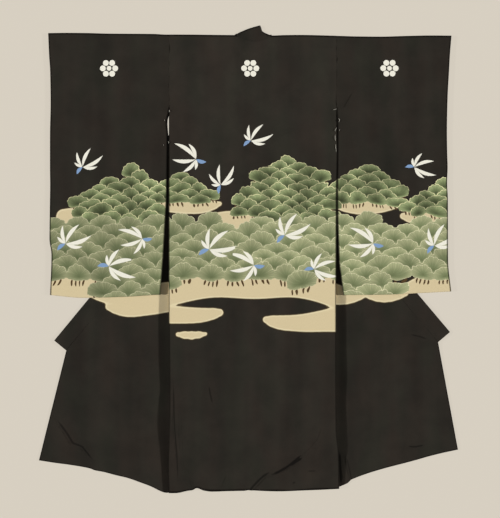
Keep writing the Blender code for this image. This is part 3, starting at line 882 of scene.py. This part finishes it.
def silk_material(name, design, colours):
    """Dyed plain-weave silk: matt black with a soft sheen, and its design drawn in paste and dye.

    What it gives the eye is a deep warm black with faint bands down the warp, where the cloth was once
    folded, and flat clear colours that keep the cloth's own grain. Shade is painted along the creases,
    the free edges are made near black, and the back is made lighter towards its top.
    """
    material, tree, shader = new_material(name)
    cut = add_node(tree, "ShaderNodeUVMap", uv_map="cut")
    known = {"place": add_node(tree, VECTOR, {0: cut, "Scale": 1 / MM}, operation="SCALE")}
    for noise, (stretch, scale, detail, roughness) in NOISES.items():
        if noise in ("drift", "glade") and design not in WAVE_LOW:
            continue
        stretched = add_node(tree, VECTOR, {0: known["place"], 1: stretch}, operation="MULTIPLY")
        feeds = {"Vector": stretched, "Scale": scale, "Detail": detail, "Roughness": roughness}
        known[noise] = add_node(tree, "ShaderNodeTexNoise", feeds)
    for field in ("crease", "crease_shown", "edge"):
        known[field] = add_node(tree, ATTRIBUTE, attribute_name=field).outputs["Fac"]
    add_steps(tree, known, (
        ("uneven", "ADD", "bands", "patches"),
        ("ground", "MULTIPLY", "uneven", 0.5),
        ("off", "ABSOLUTE", "crease"),
        ("reach", "MULTIPLY_ADD", "crease_shown", 5.2, 0.01),
        ("ragged", "MULTIPLY", "reach", "patches"),
        ("share", "DIVIDE", "off", "ragged"),
        ("rubbed", RANGE, "edge", 2.8, 0.8, 0.0, 0.85),
        ("shade", "MULTIPLY_ADD", "slub", 0.16, 0.92),
    ))
    cloth = set_ramp(add_node(tree, RAMP, {0: known["ground"]}), (0.36, colours["black"]), (0.64, colours["worn"]))
    tint = set_ramp(add_node(tree, RAMP, {0: known["slow"]}), (0.36, "#f3f8f0"), (0.5, "#faf6f2"), (0.64, "#fff3ef"))
    colour = add_node(tree, MIX, {0: 1.0, 6: cloth, 7: tint}, data_type="RGBA", blend_type="MULTIPLY").outputs[2]
    # The back's black is made up to 16 % lighter towards its top.
    if design == "back":
        height = add_node(tree, SEPARATE, {0: known["place"]}).outputs[1]
        lighter_upward = add_node(tree, RANGE, {0: height, 1: 40.0, 2: 260.0, 3: 1.0, 4: 1.16})
        colour = add_node(tree, HUE, {"Value": lighter_upward, "Color": colour}).outputs[0]
    coats = []
    if design:
        known["mist"] = add_node(tree, ATTRIBUTE, attribute_name="mist").outputs["Fac"]
        add_steps(tree, known, (("depth", RANGE, "mist", 0.0, -14.0), ("inside", RANGE, "mist", 0.5, -0.5)))
        stops = ((0.0, "line"), (0.09, "line"), (0.12, "pale"), (0.22, "pale"), (0.4, "mist"), (1.0, "mist"))
        bank = set_ramp(add_node(tree, RAMP, {0: known["depth"]}), *((at, colours[dye]) for at, dye in stops))
        coats.append((known["inside"], bank))
    if design in WAVE_LOW:
        coats += landscape(tree, known, design) + stamps(tree, colours)
    for mask, coat in coats:
        colour = add_node(tree, MIX, {0: mask, 6: colour, 7: coat}, data_type="RGBA").outputs[2]
    # Painted shade: the colour is darkened by up to 72 % along each crease's line, and along the rows without a
    # ridge, which are painted shadows only.
    crease_shade_mask = add_node(tree, RANGE, {0: known["share"], 1: 1.5, 2: 0.4, 4: known["crease_shown"]},
                       interpolation_type="SMOOTHSTEP")
    crease_shade_value = add_node(tree, MATH, {0: crease_shade_mask, 1: -0.72, 2: 1.0}, operation="MULTIPLY_ADD")
    colour = add_node(tree, HUE, {"Value": crease_shade_value, "Color": colour}).outputs[0]
    # The colour is blended towards near black within about 3 mm of every free edge.
    rubbed = {0: known["rubbed"], 6: colour, 7: linear(colours["edge"])}
    colour = add_node(tree, MIX, rubbed, data_type="RGBA").outputs[2]
    worn = add_node(tree, HUE, {"Value": known["shade"], "Color": colour})
    relief = add_node(tree, "ShaderNodeBump", {"Strength": 0.25, "Distance": 0.0004, "Height": known["slub"]})
    tree.links.new(worn.outputs[0], shader.inputs["Base Color"])
    tree.links.new(relief.outputs[0], shader.inputs["Normal"])
    set_values(shader, Roughness=0.85, Specular_IOR_Level=0.06, Sheen_Weight=0.02, Sheen_Roughness=0.5)
    return material


def grained_material(name, colour, grain, relief, **values):
    """An even tone with a fine grain, made once: its scale, its spread and its least tone."""
    found = bpy.data.materials.get(name)
    if found:
        return found
    material, tree, shader = new_material(name)
    scale, spread, least = grain
    place = add_node(tree, "ShaderNodeTexCoord").outputs["Object"]
    fine = add_node(tree, "ShaderNodeTexNoise", {"Vector": place, "Scale": scale, "Detail": 2.0})
    shade = add_node(tree, MATH, {0: fine, 1: spread, 2: least}, operation="MULTIPLY_ADD")
    tinted = add_node(tree, HUE, {"Value": shade, "Color": colour})
    tree.links.new(tinted.outputs[0], shader.inputs["Base Color"])
    if relief:
        bump = add_node(tree, "ShaderNodeBump", {"Strength": relief, "Distance": 0.0003, "Height": fine})
        tree.links.new(bump.outputs[0], shader.inputs["Normal"])
    set_values(shader, **values)
    return material


def plain_silk(name, colour, roughness):
    """Plain silk without a design, as lining or spun thread: a soft even tone with a fine slub."""
    return grained_material(name, linear(colour), (900.0, 0.4, 0.8), 0.3, Roughness=roughness, Specular_IOR_Level=0.2)


class KimonoCloth(bpy.types.PropertyGroup):
    """Sizes of the silk and how strongly it is creased."""

    wall: bpy.props.FloatProperty(
        name="Cloth", description="Outer silk, lining and the air between them", default=0.0012,
        min=0.0005, max=0.003, unit="LENGTH", precision=4)
    collar_wall: bpy.props.FloatProperty(
        name="Collar", description="Thickness of the folded collar band", default=0.0024,
        min=0.001, max=0.005, unit="LENGTH", precision=4)
    crease: bpy.props.FloatProperty(
        name="Creases", description="Height of the creases against the drawn ones", default=1.0,
        min=0.0, max=2.0, subtype="FACTOR")
    thread: bpy.props.FloatProperty(
        name="Thread", description="Half the thickness of the sewing thread, fluffed where it is worn",
        default=0.00036, min=0.0001, max=0.001, unit="LENGTH", precision=4)
    unevenness: bpy.props.FloatProperty(
        name="Unevenness", description="Height of the slow waves in the cloth", default=0.0007,
        min=0.0, max=0.003, unit="LENGTH", precision=4)


class KimonoDyes(bpy.types.PropertyGroup):
    """Colours of the silk and its design."""

    __annotations__ = {
        key: bpy.props.StringProperty(name=name, description=what + ", sRGB hex", default=colour)
        for key, name, what, colour in (
            ("black", "Black", "Dyed ground", "#262420"),
            ("worn", "Worn black", "Ground along the bands", "#302d28"),
            ("mist", "Mist", "Tan banks", "#d6c6a0"),
            ("pale", "Mist edge", "Pale rim of the banks", "#e0d3ae"),
            ("line", "Mist line", "Brown outline", "#5b4e38"),
            ("white", "White", "Leaves and roundels", "#f0eee1"),
            # This colour is blended in along every free edge of the cloth.
            ("edge", "Edge", "Rubbed brown of the free edges", "#0e0b07"),
            ("lining", "Lining", "Plain silk inside the sleeves", "#1d1a16"),
            ("thread", "Thread", "Worn sewing thread", "#a5a297"),
            ("blue", "Blue", "Stems of the sprigs", "#82a0c8"),
        )
    }


class KimonoStage(bpy.types.PropertyGroup):
    """The floor, the light and the camera."""

    floor: bpy.props.StringProperty(name="Floor", description="Pale paper floor, sRGB hex", default="#d7cfc1")
    distance: bpy.props.FloatProperty(
        name="Camera height", description="Height of the lens above the floor", default=4.0,
        min=1.0, max=10.0, unit="LENGTH")
    lens: bpy.props.FloatProperty(
        name="Lens", description="Focal length that frames the kimono as photographed", default=131.3,
        min=20.0, max=300.0, subtype="DISTANCE_CAMERA")
    side_light: bpy.props.FloatProperty(
        name="Side lights", description="Strength of the two low lights", default=4.15, min=0.0, max=20.0)
    fill: bpy.props.FloatProperty(
        name="Fill", description="Strength of the even light from all round", default=0.16, min=0.0, max=5.0)


def finish_panel(panel, node, slot, fields, *materials):
    """Puts a finished panel in its place: its fields, materials, body and node. Its slot is not used."""
    add_fields(panel, *fields)
    for material in materials:
        panel.data.materials.append(material)
    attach(panel, "root")
    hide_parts(node)


def silk(context, design):
    """The silk with this design, made once."""
    name = {"": "black_plain_weave_silk", "turned": "dyed_silk_with_mist"}.get(design, "dyed_silk_" + design)
    dyes = context.scene.kimono_dyes
    colours = {key: getattr(dyes, key) for key in KimonoDyes.__annotations__}
    return bpy.data.materials.get(name) or silk_material(name, design, colours)


def back_height(x, y):
    """Height of the back's underside: on the floor along its middle, over the rolls at its sides."""
    height = np.zeros(np.shape(x))
    middle = mix(fold_x(HALVES["left"], y), fold_x(HALVES["right"], y), 0.5)
    radius = curve(ROLL_RADIUS, y)
    top = 2 * radius + LAYER_GAP
    sewn = smooth((ARMHOLE_END_Y + 10 - y) / 60)
    edge_gap = mix(LAYER_GAP, SEAM_GAP + 0.1, sewn)
    for half in HALVES.values():
        side = half["side"]
        across = fold_frame(half)[1]
        fold = fold_x(half, y)
        edge = curve(half["edge"], y)
        start = fold + side * abs(across[0]) * radius
        share = np.clip((x - edge) / (start - edge), 0, 1)
        seam = seam_height(half, y)
        over = mix(seam, 2 * radius, share) + mix(edge_gap, LAYER_GAP, smooth(share / 0.14))
        out = side * (x - fold)
        reach = np.minimum(BACK_FALL, abs(middle - fold) * 0.8)
        falling = top * (1 + np.cos(math.pi * np.clip(-out / reach, 0, 1))) / 2
        height = np.maximum(height, np.where(side * (x - start) > 0, over, np.where(out > 0, top, falling)))
    return height


class KIMONO_OT_back(bpy.types.Operator):
    """Adds the back panel, one loom width from the shoulder to the hem"""

    bl_idname = "kimono.back"
    bl_label = "Back"
    bl_options = {"REGISTER", "UNDO"}

    def execute(self, context):
        cloth = context.scene.kimono_cloth
        hem_levels = np.linspace(HEM_Y, CREASED_Y, BACK_HEM_ROWS)[:-1]
        levels = np.concatenate((hem_levels, np.linspace(CREASED_Y, SHOULDER_MIDDLE_Y, BACK_ROWS)))
        y = np.repeat(levels[:, None], BACK_COLUMNS, axis=1)
        x = mix(curve(LEFT_SIDE, y), curve(RIGHT_SIDE, y), np.linspace(0, 1, BACK_COLUMNS))
        low, high = curve(HEM, x), neck_y(x)
        y = y + (low - levels[0]) * smooth((HEM_FADE_Y - y) / (HEM_FADE_Y - HEM_Y))
        y = y + (high - levels[-1]) * smooth((y - TOP_FADE_Y) / (SHOULDER_MIDDLE_Y - TOP_FADE_Y))
        height = back_height(x, y)
        height = height + crease_height(BACK_CREASES, x, y) * cloth.crease
        height = height + slow_waves(cloth, x, y, 130, 3)
        left, right = curve(LEFT_SIDE, y), curve(RIGHT_SIDE, y)
        height = height + pucker(x - left, y, 11) + pucker(right - x, y, 14)
        panel = grid_piece("back_panel", np.dstack((x, y, height)), cloth.wall, 1)
        sides = np.minimum(x - left, right - x) + 9 * smooth((y - ARMHOLE_END_Y) / 9)
        ends = np.minimum(y - low - 2.0 - 1.4 * wander(x, y, 60, 21), shoulder_y(x) - y - 1.6)
        fields = MIST["top"], BACK_CREASES, x, y, np.minimum(sides, ends)
        finish_panel(panel, "back", "black_silk", fields, silk(context, "back"))
        return {"FINISHED"}


def collar_rise(half, x, y):
    """How far the cloth stands up where it is sewn to the thicker collar."""
    away = -collar_distance(half, x, y) - COLLAR_WIDTH
    return COLLAR_LIFT * (1 - smooth(away / COLLAR_LIFT_REACH))


def front_points(half, cloth):
    """A front's grid: side seam, tuck under the back, roll, and the length turned out on the floor."""
    lower, upper = seam_path(half)
    outer = np.vstack((lower, upper[1:]))
    down, across = fold_frame(half)
    turned = np.array((-half["side"], 0.0))
    turned = turned - 2 * (turned @ across) * across
    top = np.array(half["fold_top"])
    reach = (top[0] - outer[:, 0]) * down[1] - (top[1] - outer[:, 1]) * down[0]
    reach = reach / (turned[0] * down[1] - turned[1] * down[0])
    fold = outer + turned * reach[:, None]
    radius = curve(ROLL_RADIUS, fold[:, 1])
    seam = seam_height(half, fold[:, 1])
    slant = abs(down[0] / down[1])
    rolls = []
    for angle in np.linspace(0, math.pi, ROLL_COLUMNS):
        place = fold + across * (radius * math.sin(angle) - radius)[:, None]
        place = place - down * (slant * radius * (angle - math.pi / 2))[:, None]
        rolls.append(np.column_stack((place, radius + radius * math.cos(angle))))
    start_y = rolls[0][:, 1]
    start_x = curve(half["edge"], start_y)
    columns = [np.column_stack((mix(start_x, rolls[0][:, 0], share), start_y, mix(seam, 2 * radius, share)))
               for share in np.linspace(0, 1, TUCK_COLUMNS)[:-1]] + rolls
    for share in np.linspace(0, 1, FRONT_COLUMNS)[1:]:
        x, y = mix(rolls[-1][:, 0], outer[:, 0], share), mix(rolls[-1][:, 1], outer[:, 1], share)
        y = along_hem(half, x, y)
        height = crease_height(FRONT_CREASES, x, y) * cloth.crease
        height = height + slow_waves(cloth, x, y, 120, 5) * smooth(share * 5)
        height = height + collar_rise(half, x, y) * smooth(share * 5)
        columns.append(np.column_stack((x, y, height)))
    return np.stack(columns, axis=1)


class KIMONO_OT_fronts(bpy.types.Operator):
    """Adds both fronts, folded outwards under the back along a slanting line"""

    bl_idname = "kimono.fronts"
    bl_label = "Fronts"
    bl_options = {"REGISTER", "UNDO"}

    def execute(self, context):
        cloth = context.scene.kimono_cloth
        for name, half in HALVES.items():
            points = front_points(half, cloth)
            panel = grid_piece("front_panel_" + name, points, cloth.wall, half["side"])
            above_hem = (np.arange(len(points)) * SEAM_SPACING)[:, None]
            fields = MIST[name], FRONT_CREASES, points[..., 0], points[..., 1], above_hem
            finish_panel(panel, "front_" + name, "dyed_silk", fields, silk(context, "turned"))
        return {"FINISHED"}


class KIMONO_OT_overlaps(bpy.types.Operator):
    """Adds the two okumi, the long pointed panels between the fronts and the open edges"""

    bl_idname = "kimono.overlaps"
    bl_label = "Overlaps"
    bl_options = {"REGISTER", "UNDO"}

    def execute(self, context):
        cloth = context.scene.kimono_cloth
        for name, half in HALVES.items():
            inner = seam_path(half)[0]
            last = len(inner) - 1
            corner, end, tip = map(np.array, (half["hem_corner"], half["collar_end"], half["okumi_seam"][-1]))
            open_length, slope_length = np.linalg.norm(end - corner), np.linalg.norm(tip - end)
            bend = round(last * open_length / (open_length + slope_length))
            open_share = np.linspace(0, 1, bend + 1)[:, None]
            slope_share = np.linspace(0, 0.985, last - bend + 1)[1:, None]
            outer = np.vstack((mix(corner, end, open_share), mix(end, tip, slope_share)))
            shares = np.linspace(0, 1, OVERLAP_COLUMNS)[None, :, None]
            flat = mix(inner[:, None, :], outer[:, None, :], shares)
            x = flat[..., 0]
            y = along_hem(half, x, flat[..., 1])
            height = crease_height(FRONT_CREASES, x, y) * cloth.crease
            height = height + slow_waves(cloth, x, y, 120, 5) + collar_rise(half, x, y)
            panel = grid_piece("overlap_panel_" + name, np.dstack((x, y, height)), cloth.wall, half["side"])
            edge = np.where(np.arange(last + 1)[:, None] <= bend, np.hypot(x - x[:, -1:], y - y[:, -1:]), FAR)
            edge = np.minimum(edge, (np.arange(last + 1) * SEAM_SPACING)[:, None])
            fields = MIST[name], FRONT_CREASES, x, y, edge
            finish_panel(panel, "overlap_" + name, "dyed_silk", fields, silk(context, "turned"))
        return {"FINISHED"}


def collar_path(half, spacing=3.0):
    """The collar's inner edge, from its square end up to the neck, and the directions across it."""
    tip = half["okumi_seam"][-1]
    line = path((half["collar_end"], tip), spacing)
    line = np.vstack((line, path((tip, *half["collar_bends"]), spacing)[1:]))
    run = np.gradient(line, axis=0)
    near = 7
    width = np.ones(2 * near + 1) / (2 * near + 1)
    padded = np.pad(run, ((near, near), (0, 0)), mode="edge")
    run = np.column_stack([np.convolve(padded[:, axis], width, mode="valid") for axis in (0, 1)])
    run /= np.linalg.norm(run, axis=1)[:, None]
    return line, np.column_stack((-run[:, 1], run[:, 0])) * -half["side"]


class KIMONO_OT_collars(bpy.types.Operator):
    """Adds the collar's two lengths along the fronts and its stretch behind the neck"""

    bl_idname = "kimono.collars"
    bl_label = "Collar"
    bl_options = {"REGISTER", "UNDO"}

    def execute(self, context):
        cloth = context.scene.kimono_cloth
        for name, half in HALVES.items():
            line, across = collar_path(half)
            columns = []
            for share in np.linspace(0, 1, COLLAR_COLUMNS):
                edge = line + across * ((COLLAR_WIDTH + 0.2) * share - SEWN_LAP)
                reach = np.concatenate(((0.0,), np.cumsum(np.linalg.norm(np.diff(edge, axis=0), axis=1))))
                last = np.interp(COLLAR_TOP_Y, edge[:, 1], reach) if edge[-1, 1] > COLLAR_TOP_Y else reach[-1]
                at = np.linspace(0, last, COLLAR_ROWS)
                x, y = np.interp(at, reach, edge[:, 0]), np.interp(at, reach, edge[:, 1])
                height = COLLAR_SWELL * math.sin(math.pi * share) + slow_waves(cloth, x, y, 70, 9) / 2
                columns.append(np.column_stack((x, y, height)))
            points = np.stack(columns, axis=1)
            panel = grid_piece("collar_band_" + name, points, cloth.collar_wall, half["side"])
            fields = MIST[name], FRONT_CREASES, points[..., 0], points[..., 1]
            finish_panel(panel, "collar_" + name, "dyed_silk", fields, silk(context, "turned"))
        x = np.linspace(min(NECK_TOP), max(NECK_TOP), NECK_COLUMNS)
        high = read(NECK_TOP, x)
        low = np.minimum(neck_y(x), high - LAYER_GAP) - SEWN_LAP
        shares = np.linspace(0, 1, COLLAR_COLUMNS)[:, None]
        y = mix(low, high, shares)
        cut = np.maximum(back_height(x, neck_y(x)) - CLOTH_WALL, 0)
        height = cut * (1 - smooth(shares * 1.2)) + NECK_SWELL * np.sin(math.pi * shares)
        points = np.dstack((np.repeat(x[None, :], COLLAR_COLUMNS, axis=0), y, height))
        panel = grid_piece("collar_band_neck", points, cloth.collar_wall, 1)
        fields = MIST["left"], BACK_CREASES, points[..., 0], y, high - y - 1.0
        finish_panel(panel, "collar_neck", "black_silk", fields, silk(context, ""))
        return {"FINISHED"}


def collar_distance(half, x, y):
    """How far this place lies outside the collar's free edge; less than 0 is over the front."""
    line, _ = collar_path(half, 12.0)
    away, side, _ = line_distance(line, x, y)
    return np.where(side * -half["side"] > 0, away, -away) - COLLAR_WIDTH


def sleeve_floor(half, sleeve, x, y):
    """Height of the sleeve's lower face: it rides over the front and meets the body's side."""
    lift = SLEEVE_RISE * (1 - smooth((collar_distance(half, x, y) - 20) / 45))
    seam = np.minimum(SLEEVE_RISE, seam_height(half, y) - CLOTH_WALL)
    near = smooth(1 - abs(x - curve(sleeve["inner"], y)) / 90)
    return mix(lift, np.maximum(lift, seam), near)


class KIMONO_OT_sleeves(bpy.types.Operator):
    """Adds both sleeves, each one cloth folded at the shoulder, open at the cuff and beside the body"""

    bl_idname = "kimono.sleeves"
    bl_label = "Sleeves"
    bl_options = {"REGISTER", "UNDO"}

    def execute(self, context):
        cloth = context.scene.kimono_cloth
        radius = SLEEVE_THICKNESS / 2
        for name, half in HALVES.items():
            sleeve = SLEEVES[name]
            # Round the tube: the upper layer, its lower fold, the lower layer, the shoulder fold and
            # the first point again
            top, under = np.linspace(0, 1, SLEEVE_TOP), np.linspace(1, 0, SLEEVE_UNDER)
            turn = np.linspace(0, math.pi, SLEEVE_TURN + 2)[1:-1]
            part = (top, np.ones(SLEEVE_TURN), under, np.zeros(SLEEVE_TURN), (0.0,))
            bulge = (top * 0, np.sin(turn), under * 0, np.sin(turn), (0.0,))
            rise = (top * 0 + 2, 1 + np.cos(turn), under * 0, 1 - np.cos(turn), (2.0,))
            part, bulge, rise = (np.concatenate(parts)[:, None] for parts in (part, bulge, rise))
            bulge, rise = radius * bulge, radius * rise
            shares = np.linspace(0, 1, SLEEVE_ROWS)[None, :]
            guess = mix(read(sleeve["cuff"], 200), read(sleeve["inner"], 200), shares)
            high, low = shoulder_y(guess) - radius, curve(sleeve["lower"], guess) + radius
            y = mix(high, low, part) + np.where(part > 0.5, -bulge, bulge)
            x = mix(curve(sleeve["cuff"], y), curve(sleeve["inner"], y), shares)
            height = sleeve_floor(half, sleeve, x, y) + rise
            top_share = rise / SLEEVE_THICKNESS
            height = height + slow_waves(cloth, x, y, 140, 7) * top_share
            height = height + crease_height(SLEEVE_CREASES, x, y) * cloth.crease * top_share
            height = height + pucker(x - curve(sleeve["inner"], y), y, 17) * top_share
            under = (1 - smooth(top_share * 2)) * smooth((shares - 0.955) / 0.045)
            height = height - under * 2.0 * smooth(curve(sleeve["under"], y) / 4)
            x = x - half["side"] * curve(sleeve["under"], y) * under
            points = np.dstack((x, y, height)).transpose(1, 0, 2)[::-half["side"]]
            panel = grid_piece("sleeve_panel_" + name, points, cloth.wall, -1, closed=True)
            x, y, _ = points_of(panel.data).T * 1000
            inner_edge = abs(x - curve(sleeve["inner"], y)) + 9 * smooth((y - ARMHOLE_END_Y) / 9)
            edge = np.minimum(abs(x - curve(sleeve["cuff"], y)) - 0.9, inner_edge)
            edge = np.minimum(edge, shoulder_y(x) - y - 1.6)
            lining = plain_silk("plain_silk_lining", context.scene.kimono_dyes.lining, 0.6)
            fields = MIST["top"], SLEEVE_CREASES, x, y, edge
            finish_panel(panel, "sleeve_" + name, "black_silk", fields, silk(context, "sleeve"), lining)
        return {"FINISHED"}


class KIMONO_OT_threads(bpy.types.Operator):
    """Adds the worn sewing threads that stand up at the tops of the slits"""

    bl_idname = "kimono.threads"
    bl_label = "Threads"
    bl_options = {"REGISTER", "UNDO"}

    def execute(self, context):
        radius = context.scene.kimono_cloth.thread / MM
        threads = bmesh.new()
        for number, corners in enumerate(THREADS):
            line = path(corners, THREAD_SPACING)
            rows, sides = len(line), 6
            known = len(threads.verts)
            bmesh.ops.create_grid(threads, x_segments=sides, y_segments=rows - 1, size=0.5)
            threads.verts.ensure_lookup_table()
            run = np.gradient(line, axis=0)
            run /= np.linalg.norm(run, axis=1)[:, None]
            taper = radius * (1 - 0.6 * abs(np.linspace(-1, 1, rows)) ** 3)
            for vert in threads.verts[known:]:
                row, turn = round((vert.co.y + 0.5) * (rows - 1)), math.tau * (vert.co.x + 0.5)
                spot, across = line[row], (-run[row][1], run[row][0])
                lift = THREAD_HEIGHT + THREAD_ARCH * math.sin(math.pi * row / (rows - 1)) + 0.3 * (number % 3)
                x, y = (spot[axis] + across[axis] * taper[row] * math.cos(turn) for axis in (0, 1))
                vert.co = (x * MM, y * MM, (lift + taper[row] * math.sin(turn)) * MM)
        bmesh.ops.remove_doubles(threads, verts=threads.verts, dist=1e-6)
        bmesh.ops.holes_fill(threads, edges=threads.edges, sides=6)
        bmesh.ops.recalc_face_normals(threads, faces=threads.faces)
        data = mesh_data("seam_threads", threads)
        data.shade_smooth()
        piece = add_object("seam_threads", data)
        data.materials.append(plain_silk("spun_silk_thread", context.scene.kimono_dyes.thread, 0.7))
        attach(piece, "root")
        return {"FINISHED"}


class KIMONO_OT_stage(bpy.types.Operator):
    """Adds the pale floor, the soft lights and the camera straight above"""

    bl_idname = "kimono.stage"
    bl_label = "Stage"
    bl_options = {"REGISTER", "UNDO"}

    def execute(self, context):
        stage = context.scene.kimono_stage
        mesh = bmesh.new()
        bmesh.ops.create_grid(mesh, x_segments=4, y_segments=4, size=FLOOR_HALF)
        bmesh.ops.translate(mesh, vec=(0, 0, -FLOOR_DEPTH), verts=mesh.verts)
        floor = add_object("paper_floor", mesh_data("paper_floor", mesh))
        # Matt uncoated background paper: pale, warm and without any gloss
        colour = linear(stage.floor)
        floor.data.materials.append(grained_material(
            "matt_background_paper", [c * 0.08 for c in colour[:3]] + [1.0], (300.0, 0.02, 0.99), 0,
            Emission_Color=colour, Emission_Strength=0.92, Roughness=0.95, Specular_IOR_Level=0.1))

        for side in (-1, 1):
            light = bpy.data.lights.new("side_light", "SUN")
            light.energy = stage.side_light
            light.angle = math.radians(LAMP_SOFTNESS)
            light.color = LIGHT_COLOUR
            add_object("side_light", light).rotation_euler = (0, math.radians(LAMP_SLANT) * side, 0)
        world = bpy.data.worlds.new("even_light")
        world.use_nodes = True
        set_values(world.node_tree.nodes["Background"], Color=(*LIGHT_COLOUR, 1.0), Strength=stage.fill)
        context.scene.world = world

        camera = bpy.data.cameras.new("camera")
        camera.sensor_width = 36.0
        camera.lens = stage.lens
        camera.clip_end = 30.0
        holder = add_object("camera", camera)
        holder.location = (CAMERA_X, CAMERA_Y, stage.distance)
        context.scene.camera = holder
        context.scene.view_settings.view_transform = "Standard"
        return {"FINISHED"}


class KIMONO_PT_panel(bpy.types.Panel):
    """Lists the kimono's pieces and their sizes"""

    bl_idname = "KIMONO_PT_panel"
    bl_label = "Kimono"
    bl_space_type = "VIEW_3D"
    bl_region_type = "UI"
    bl_category = "Kimono"

    def draw(self, context):
        layout = self.layout
        for group in (context.scene.kimono_cloth, context.scene.kimono_dyes, context.scene.kimono_stage):
            box = layout.box()
            for name in group.__annotations__:
                box.prop(group, name)
        for operator in OPERATORS:
            layout.operator(operator.bl_idname)


OPERATORS = (
    KIMONO_OT_back, KIMONO_OT_fronts, KIMONO_OT_overlaps, KIMONO_OT_collars, KIMONO_OT_sleeves, KIMONO_OT_threads,
    KIMONO_OT_stage,
)
GROUPS = {"kimono_cloth": KimonoCloth, "kimono_dyes": KimonoDyes, "kimono_stage": KimonoStage}


def register():
    for kind in (*GROUPS.values(), *OPERATORS, KIMONO_PT_panel):
        bpy.utils.register_class(kind)
    for name, group in GROUPS.items():
        setattr(bpy.types.Scene, name, bpy.props.PointerProperty(type=group))


def unregister():
    for name in GROUPS:
        delattr(bpy.types.Scene, name)
    for kind in (KIMONO_PT_panel, *reversed(OPERATORS), *reversed(GROUPS.values())):
        bpy.utils.unregister_class(kind)


def main():
    register()
    bpy.ops.kimono.back()
    bpy.ops.kimono.fronts()
    bpy.ops.kimono.overlaps()
    bpy.ops.kimono.collars()
    bpy.ops.kimono.sleeves()
    bpy.ops.kimono.threads()
    bpy.ops.kimono.stage()


if __name__ == "__main__":
    main()
